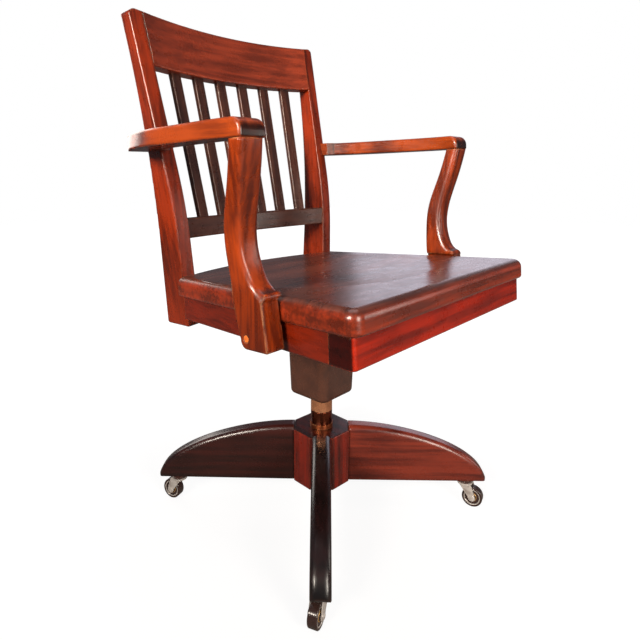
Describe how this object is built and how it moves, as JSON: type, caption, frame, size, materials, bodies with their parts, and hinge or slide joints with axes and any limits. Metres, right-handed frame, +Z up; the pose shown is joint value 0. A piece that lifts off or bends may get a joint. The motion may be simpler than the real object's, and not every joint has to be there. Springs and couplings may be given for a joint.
{
  "type": "bankers swivel chair",
  "caption": "Wooden swivel desk chair with open arms, slatted back, saddled seat, tilting screw column and a four-legged base on casters.",
  "frame": {"origin": "on the floor under the swivel axis", "axes": "+Z up, the sitter looks along -Y, the sitter's left is +X"},
  "size_m": [0.6166, 0.569, 0.9298],
  "materials": {
    "wood_seat": "satin",
    "wood_frame": "satin",
    "wood_arms": "satin",
    "wood_slats": "satin",
    "wood_base": "satin",
    "wood_plug": "satin",
    "steel_brown": "semi-gloss",
    "steel_dark": "satin",
    "steel_bright": "satin",
    "copper_plate": "worn",
    "nickel": "polished",
    "wheel": "gloss"
  },
  "bodies": {
    "base": {"hub": "wood_base", "hub_tube": "steel_bright", "leg_dowels": "wood_base", "caster_sockets": "steel_brown", "leg_front": "wood_base", "leg_left": "wood_base", "leg_back": "wood_base", "leg_right": "wood_base"},
    "sleeve": {"bearing_sleeve": "copper_plate"},
    "nut": {"height_nut": "copper_plate"},
    "column": {"spindle": "steel_bright", "spindle_collar": "copper_plate", "spindle_lock_nut": "steel_bright", "mechanism_housing": "steel_brown", "spring_shelf": "steel_dark", "spring_guide": "steel_bright", "tilt_spring": "steel_bright", "tilt_shaft": "steel_bright", "shaft_nuts": "steel_bright"},
    "chair_top": {"seat": "wood_seat", "apron_front": "wood_frame", "apron_left": "wood_frame", "apron_right": "wood_frame", "apron_back": "wood_frame", "corner_blocks": "wood_frame", "back_post_left": "wood_frame", "back_post_right": "wood_frame", "crest_rail": "wood_frame", "lower_rail": "wood_slats", "slat_1": "wood_slats", "slat_2": "wood_slats", "slat_3": "wood_slats", "slat_4": "wood_slats", "slat_5": "wood_slats", "slat_6": "wood_slats", "arm_left": "wood_arms", "arm_right": "wood_arms", "arm_support_left": "wood_arms", "arm_support_right": "wood_arms", "wood_plugs": "wood_plug", "foot_screws": "steel_bright", "foot_spacers": "wood_frame", "arm_dowels": "wood_arms", "seat_plate": "steel_dark", "plate_screws": "steel_bright", "spring_cup": "steel_dark"},
    "fork_front": {"caster_fork_front": "nickel", "caster_axle_front": "nickel"},
    "wheel_front": {"caster_wheel_front": "wheel"},
    "fork_left": {"caster_fork_left": "nickel", "caster_axle_left": "nickel"},
    "wheel_left": {"caster_wheel_left": "wheel"},
    "fork_back": {"caster_fork_back": "nickel", "caster_axle_back": "nickel"},
    "wheel_back": {"caster_wheel_back": "wheel"},
    "fork_right": {"caster_fork_right": "nickel", "caster_axle_right": "nickel"},
    "wheel_right": {"caster_wheel_right": "wheel"}
  },
  "joints": [
    {"name": "seat_swivel", "type": "hinge", "parent": "base", "child": "sleeve", "pos_m": [0, 0, 0.0965], "axis": [0, 0, 1], "continuous": true},
    {"name": "nut_turn", "type": "hinge", "parent": "sleeve", "child": "nut", "pos_m": [0, 0, 0.1765], "axis": [0, 0, 1], "range_deg": [0, 4201]},
    {"name": "seat_height", "type": "slide", "parent": "sleeve", "child": "column", "axis": [0, 0, 1], "range_m": [0, 0.07]},
    {"name": "seat_tilt", "type": "hinge", "parent": "column", "child": "chair_top", "pos_m": [0, 0, 0.3965], "axis": [-1, 0, 0], "range_deg": [0, 12], "stiffness_Nm_per_rad": 60, "springref_deg": -8.59, "deforming": ["tilt_spring"]},
    {"name": "front_caster_swivel", "type": "hinge", "parent": "base", "child": "fork_front", "pos_m": [-0.20992, -0.18377, 0.0465], "axis": [0, 0, 1], "continuous": true},
    {"name": "front_wheel_roll", "type": "hinge", "parent": "fork_front", "child": "wheel_front", "pos_m": [-0.22408, -0.18873, 0.019], "axis": [-0.3305, 0.9438, 0], "continuous": true},
    {"name": "left_caster_swivel", "type": "hinge", "parent": "base", "child": "fork_left", "pos_m": [0.18377, -0.20992, 0.0465], "axis": [0, 0, 1], "continuous": true},
    {"name": "left_wheel_roll", "type": "hinge", "parent": "fork_left", "child": "wheel_left", "pos_m": [0.18755, -0.22444, 0.019], "axis": [-0.9677, -0.2521, 0], "continuous": true},
    {"name": "back_caster_swivel", "type": "hinge", "parent": "base", "child": "fork_back", "pos_m": [0.20992, 0.18377, 0.0465], "axis": [0, 0, 1], "continuous": true},
    {"name": "back_wheel_roll", "type": "hinge", "parent": "fork_back", "child": "wheel_back", "pos_m": [0.22233, 0.19221, 0.019], "axis": [0.5621, -0.8271, 0], "continuous": true},
    {"name": "right_caster_swivel", "type": "hinge", "parent": "base", "child": "fork_right", "pos_m": [-0.18377, 0.20992, 0.0465], "axis": [0, 0, 1], "continuous": true},
    {"name": "right_wheel_roll", "type": "hinge", "parent": "fork_right", "child": "wheel_right", "pos_m": [-0.18829, 0.22423, 0.019], "axis": [0.9537, 0.3007, 0], "continuous": true}
  ],
  "couplings": [
    {"joint": "nut_turn", "follows": "seat_height", "rad_per_m": 1047.2}
  ]
}
